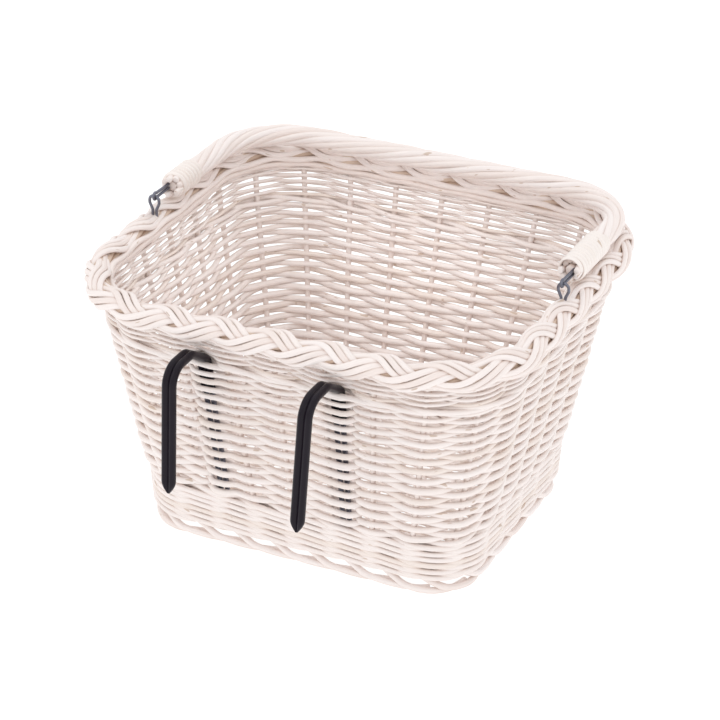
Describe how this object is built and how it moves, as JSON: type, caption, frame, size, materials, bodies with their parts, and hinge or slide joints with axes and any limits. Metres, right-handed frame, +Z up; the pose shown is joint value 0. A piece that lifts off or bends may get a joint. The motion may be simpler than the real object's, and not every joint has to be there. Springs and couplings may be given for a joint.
{
  "type": "handlebar basket",
  "caption": "Rectangular woven willow basket with a fold-back rope handle and sleeved wire hooks that hang it on a bicycle handlebar.",
  "frame": {"origin": "centre of the base panel's underside, on the middle of the basket's length; the foot border hangs 14.5 mm below it", "axes": "+Z up, +Y away from the hook wall towards the back wall, +X to the right when looking at the hook wall from outside"},
  "size_m": [0.3972, 0.3968, 0.2585],
  "materials": {
    "willow_weave": "satin",
    "willow_rods": "satin",
    "cane_binding": "satin",
    "hook_plastic": "semi-gloss",
    "steel_wire": "galvanised"
  },
  "bodies": {
    "basket": {"base_panel": "willow_weave", "bottom_waling": "willow_weave", "foot_border": "willow_weave", "hook_sleeve_left": "hook_plastic", "hook_sleeve_right": "hook_plastic", "hook_wire_left": "steel_wire", "hook_wire_right": "steel_wire", "plait_border": "willow_rods", "rim_loop_left": "steel_wire", "rim_loop_right": "steel_wire", "side_weave_lower": "willow_weave", "side_weave_upper": "willow_weave", "stake_01": "willow_rods", "stake_02": "willow_rods", "stake_03": "willow_rods", "stake_04": "willow_rods", "stake_05": "willow_rods", "stake_06": "willow_rods", "stake_07": "willow_rods", "stake_08": "willow_rods", "stake_09": "willow_rods", "stake_10": "willow_rods", "stake_11": "willow_rods", "stake_12": "willow_rods", "stake_13": "willow_rods", "stake_14": "willow_rods", "stake_15": "willow_rods", "stake_16": "willow_rods", "stake_17": "willow_rods", "stake_18": "willow_rods", "stake_19": "willow_rods", "stake_20": "willow_rods", "stake_21": "willow_rods", "stake_22": "willow_rods", "stake_23": "willow_rods", "stake_24": "willow_rods", "stake_25": "willow_rods", "stake_26": "willow_rods", "stake_27": "willow_rods", "stake_28": "willow_rods", "upper_wale": "willow_weave"},
    "handle": {"handle_binding_left": "cane_binding", "handle_binding_right": "cane_binding", "handle_eye_left": "steel_wire", "handle_eye_right": "steel_wire", "handle_rope": "willow_rods"}
  },
  "joints": [
    {"name": "handle_swing", "type": "hinge", "parent": "basket", "child": "handle", "pos_m": [0, -0.016, 0.233], "axis": [1, 0, 0], "range_deg": [0, 181]}
  ]
}
